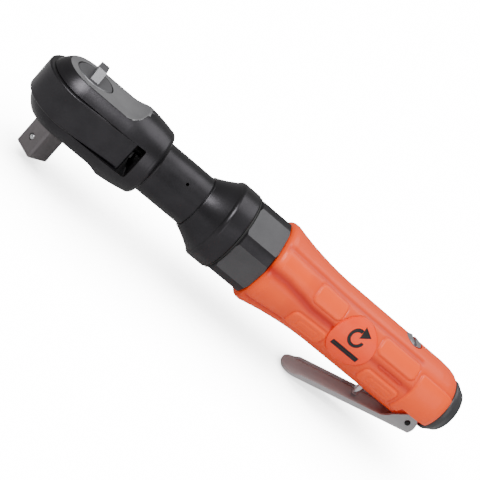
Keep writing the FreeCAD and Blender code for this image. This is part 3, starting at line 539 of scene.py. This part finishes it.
# ---------------------------------------------------------------------------
# Lever: pressed and plated sheet steel with a brushed grain along its length.
lever_steel = surface("lever_steel", (0.42, 0.42, 0.43), 0.5, 0.45, spread=0.12, grain=1500, bump=0.05,
                      stretch=(0.15, 1, 1))
finish_node("throttle_lever", lever_steel)
pin_steel = surface("pin_steel", (0.015, 0.015, 0.016), 0.4, 0.7)
finish_node("lever_pin", pin_steel)

# Rear end: moulded black deflector with its felt, and the turned inlet.
black_plastic = surface("black_plastic", (0.035, 0.036, 0.04), 0.4, 0.0, grain=1800)
finish_node("exhaust_deflector", black_plastic, edge=0.0003)
felt = surface("grey_felt", (0.3, 0.3, 0.3), 0.95, 0.0, spread=0.3, grain=3000, bump=0.4)
finish_node("silencer_felt", felt)
inlet_steel = surface("inlet_steel", (0.35, 0.35, 0.37), 0.3, 1.0)
finish_node("inlet_bushing", inlet_steel)

# ---------------------------------------------------------------------------
# Inlet thread: the ridge of the 1/4 inch pipe thread, cut in the steel of the
# bushing. It winds along the bore from the mouth inwards, 18 turns to the inch.
THREAD_PITCH = 0.0254 / 18
THREAD_TURNS = 7


def thread_tree():
    """Geometry nodes that sweep a ridge along a spiral and lay it along the tool's axis."""
    tree = bpy.data.node_groups.new("inlet_thread", "GeometryNodeTree")
    for label in ("Turns", "Bore", "Length", "Ridge", "Start"):
        tree.interface.new_socket(label, in_out="INPUT", socket_type="NodeSocketFloat")
    tree.interface.new_socket("Geometry", in_out="OUTPUT", socket_type="NodeSocketGeometry")
    given = tree.nodes.new("NodeGroupInput")
    spiral = tree.nodes.new("GeometryNodeCurveSpiral")
    spiral.inputs["Resolution"].default_value = 36
    section = tree.nodes.new("GeometryNodeCurvePrimitiveCircle")
    section.inputs["Resolution"].default_value = 4
    sweep = tree.nodes.new("GeometryNodeCurveToMesh")
    sweep.inputs["Fill Caps"].default_value = True
    place = tree.nodes.new("ShaderNodeCombineXYZ")
    place.inputs["Z"].default_value = AXIS_Z
    lay = tree.nodes.new("GeometryNodeTransform")
    lay.inputs["Rotation"].default_value = (0, math.pi / 2, 0)
    realize = tree.nodes.new("GeometryNodeRealizeInstances")
    paint = tree.nodes.new("GeometryNodeSetMaterial")
    paint.inputs["Material"].default_value = inlet_steel
    result = tree.nodes.new("NodeGroupOutput")
    for source, socket in (
        (given.outputs["Turns"], spiral.inputs["Rotations"]),
        (given.outputs["Bore"], spiral.inputs["Start Radius"]),
        (given.outputs["Bore"], spiral.inputs["End Radius"]),
        (given.outputs["Length"], spiral.inputs["Height"]),
        (given.outputs["Ridge"], section.inputs["Radius"]),
        (given.outputs["Start"], place.inputs["X"]),
        (spiral.outputs["Curve"], sweep.inputs["Curve"]),
        (section.outputs["Curve"], sweep.inputs["Profile Curve"]),
        (sweep.outputs["Mesh"], lay.inputs["Geometry"]),
        (place.outputs["Vector"], lay.inputs["Translation"]),
        (lay.outputs["Geometry"], realize.inputs["Geometry"]),
        (realize.outputs["Geometry"], paint.inputs["Geometry"]),
        (paint.outputs["Geometry"], result.inputs["Geometry"]),
    ):
        tree.links.new(source, socket)
    return tree


thread = bpy.data.objects.new("inlet_thread", bpy.data.meshes.new("inlet_thread"))
bpy.context.scene.collection.objects.link(thread)
winding = thread.modifiers.new("thread", "NODES")
winding.node_group = thread_tree()
thread_length = THREAD_PITCH * THREAD_TURNS
thread_sizes = {
    "Turns": THREAD_TURNS, "Bore": 0.0058, "Length": thread_length, "Ridge": 0.00055,
    "Start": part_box("inlet_bushing")[1][0] - 0.0008 - thread_length,
}
for socket in winding.node_group.interface.items_tree:
    if socket.in_out == "INPUT":
        winding[socket.identifier] = float(thread_sizes[socket.name])
thread.update_tag()
wound = bpy.data.meshes.new_from_object(thread.evaluated_get(bpy.context.evaluated_depsgraph_get()))
thread.modifiers.clear()
thread.data = wound
work = bmesh.new()
work.from_mesh(wound)
bmesh.ops.recalc_face_normals(work, faces=work.faces[:])
work.to_mesh(wound)
work.free()
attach(thread, "handle")

# Inside: ground steel, bronze and the aluminium core, mostly out of sight.
gear_steel = surface("gear_steel", (0.4, 0.4, 0.42), 0.28, 1.0)
bronze = surface("bronze", (0.5, 0.32, 0.13), 0.35, 1.0)
aluminium = surface("aluminium", (0.6, 0.6, 0.62), 0.4, 1.0)
resin = surface("vane_resin", (0.2, 0.1, 0.05), 0.6, 0.0)
INSIDE = {
    "gear_steel": gear_steel, "bronze": bronze, "housing_aluminium": aluminium, "vane_resin": resin,
    "spring_steel": gear_steel, "bright_steel": bright_steel, "drive_steel": drive_steel,
}
for row in frame["record"]["subparts"]:
    if row["material_slot"] in INSIDE and row["node"] not in ("square_drive", "lever_pin"):
        finish_node(row["node"], INSIDE[row["material_slot"]])
# The crankshaft and its bushings, which show through the yoke's gap, are near-black steel.
near_black_steel = surface("near_black_steel", (0.02, 0.019, 0.018), 0.4, 0.7)
for name in ("crankshaft", "drive_bushing", "crank_bushing"):
    finish_node(name, near_black_steel)
